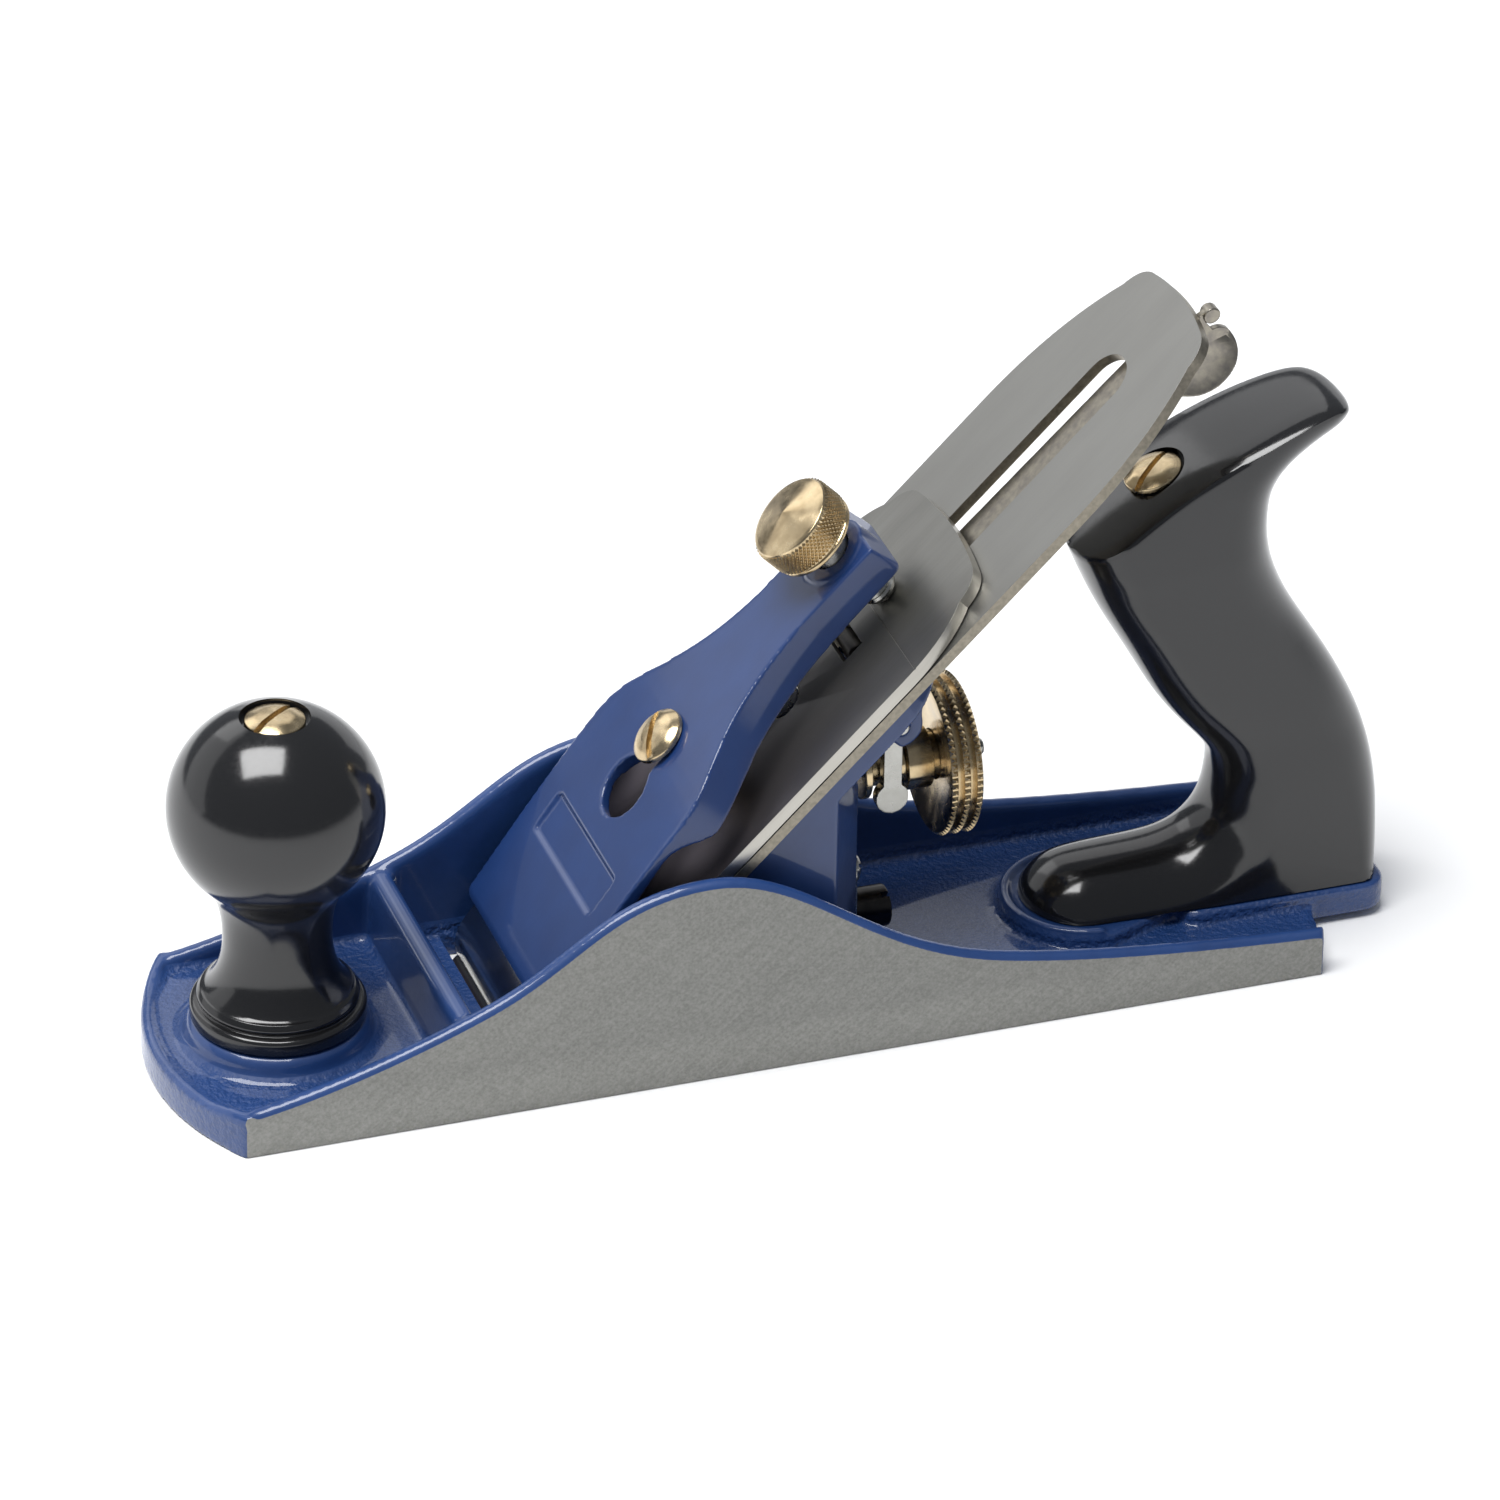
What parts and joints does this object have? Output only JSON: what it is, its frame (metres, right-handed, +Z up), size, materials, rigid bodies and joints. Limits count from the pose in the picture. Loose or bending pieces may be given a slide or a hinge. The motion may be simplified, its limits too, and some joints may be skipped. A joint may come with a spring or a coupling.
{
  "type": "hand plane",
  "caption": "Metal smoothing plane with an adjustable frog, a lever-clamped cutting iron, a depth wheel, a lateral lever, a ball front knob and a moulded rear handle.",
  "frame": {"origin": "on the sole's plane, at the middle of the overall length and width", "axes": "+X from the toe to the heel, +Y to the user's right, +Z up from the sole"},
  "size_m": [0.2503, 0.062, 0.1381],
  "materials": {
    "enamelled_iron": "blue enamel, with ground bare cheeks and sole",
    "enamel": "blue enamel",
    "black_plastic": "glossy moulded",
    "brass": "polished",
    "tool_steel": "ground, lightly oiled",
    "bright_steel": "bright zinc plated"
  },
  "bodies": {
    "body": {"body_casting": "enamelled_iron", "front_knob": "black_plastic", "knob_nut": "brass", "knob_stud": "bright_steel", "rear_handle": "black_plastic", "handle_nut": "brass", "handle_stud": "bright_steel", "frog_screw_left": "bright_steel", "frog_screw_right": "bright_steel", "frog_washer_left": "bright_steel", "frog_washer_right": "bright_steel"},
    "frog": {"frog": "enamel", "frog_adjusting_clip": "bright_steel", "clip_screw": "bright_steel", "depth_stud": "bright_steel", "yoke_pin": "bright_steel", "lateral_rivet": "bright_steel", "lever_cap_screw": "brass"},
    "frog_adjusting_screw": {"frog_adjusting_screw": "bright_steel"},
    "depth_collar": {"depth_collar": "brass"},
    "depth_wheel": {"depth_wheel": "brass"},
    "yoke": {"yoke": "bright_steel"},
    "cap_iron_screw": {"cap_iron_screw": "bright_steel"},
    "irons": {"cutting_iron": "tool_steel", "cap_iron": "tool_steel"},
    "lateral_lever": {"lateral_lever": "bright_steel", "lateral_disc": "bright_steel"},
    "lever_cap": {"lever_cap": "enamel"},
    "thumbscrew_shank": {"thumbscrew_shank": "bright_steel"},
    "thumbscrew_head": {"thumbscrew_head": "brass"}
  },
  "joints": [
    {"name": "frog_slide", "type": "slide", "parent": "body", "child": "frog", "axis": [1, 0, 0], "range_m": [-0.001, 0.001]},
    {"name": "frog_screw_turn", "type": "hinge", "parent": "frog", "child": "frog_adjusting_screw", "pos_m": [0.0148, 0, 0.0126], "axis": [1, 0, 0], "range_deg": [-360.5, 360.5]},
    {"name": "depth_wheel_turn", "type": "hinge", "parent": "depth_collar", "child": "depth_wheel", "pos_m": [0.0348, 0, 0.0453], "axis": [-1, 0, 0], "range_deg": [-540.5, 480.5]},
    {"name": "depth_collar_travel", "type": "slide", "parent": "frog", "child": "depth_collar", "axis": [1, 0, 0], "range_m": [-0.00151, 0.00134]},
    {"name": "yoke_rock", "type": "hinge", "parent": "frog", "child": "yoke", "pos_m": [0.0224, 0, 0.0594], "axis": [0, 1, 0], "range_deg": [-4.42, 4.97]},
    {"name": "iron_feed", "type": "slide", "parent": "frog", "child": "cap_iron_screw", "axis": [0.7071, 0, 0.7071], "range_m": [-0.00116, 0.0013]},
    {"name": "iron_skew", "type": "hinge", "parent": "cap_iron_screw", "child": "irons", "pos_m": [0.00401, 0, 0.06081], "axis": [-0.7071, 0, 0.7071], "range_deg": [-1.28, 1.28]},
    {"name": "lateral_lever_swing", "type": "hinge", "parent": "frog", "child": "lateral_lever", "pos_m": [0.03088, 0, 0.08344], "axis": [-0.7071, 0, 0.7071], "range_deg": [-4.5, 4.5]},
    {"name": "lever_cap_slide", "type": "slide", "parent": "frog", "child": "lever_cap", "axis": [0.7071, 0, 0.7071], "range_m": [0, 0.0117]},
    {"name": "thumbscrew_travel", "type": "slide", "parent": "lever_cap", "child": "thumbscrew_shank", "axis": [-0.7071, 0, 0.7071], "range_m": [0, 0.004]},
    {"name": "thumbscrew_turn", "type": "hinge", "parent": "thumbscrew_shank", "child": "thumbscrew_head", "pos_m": [0.00613, 0, 0.0997], "axis": [-0.7071, 0, 0.7071], "range_deg": [-0.5, 1440.5]}
  ],
  "couplings": [
    {"joint": "frog_screw_turn", "follows": "frog_slide", "rad_per_m": 6283.2},
    {"joint": "depth_collar_travel", "follows": "iron_feed", "ratio": -1.1513},
    {"joint": "yoke_rock", "follows": "iron_feed", "rad_per_m": 65.786},
    {"joint": "depth_wheel_turn", "follows": "iron_feed", "rad_per_m": -7233.6},
    {"joint": "iron_skew", "follows": "lateral_lever_swing", "ratio": -0.27273},
    {"joint": "thumbscrew_turn", "follows": "thumbscrew_travel", "rad_per_m": 6283.2}
  ]
}
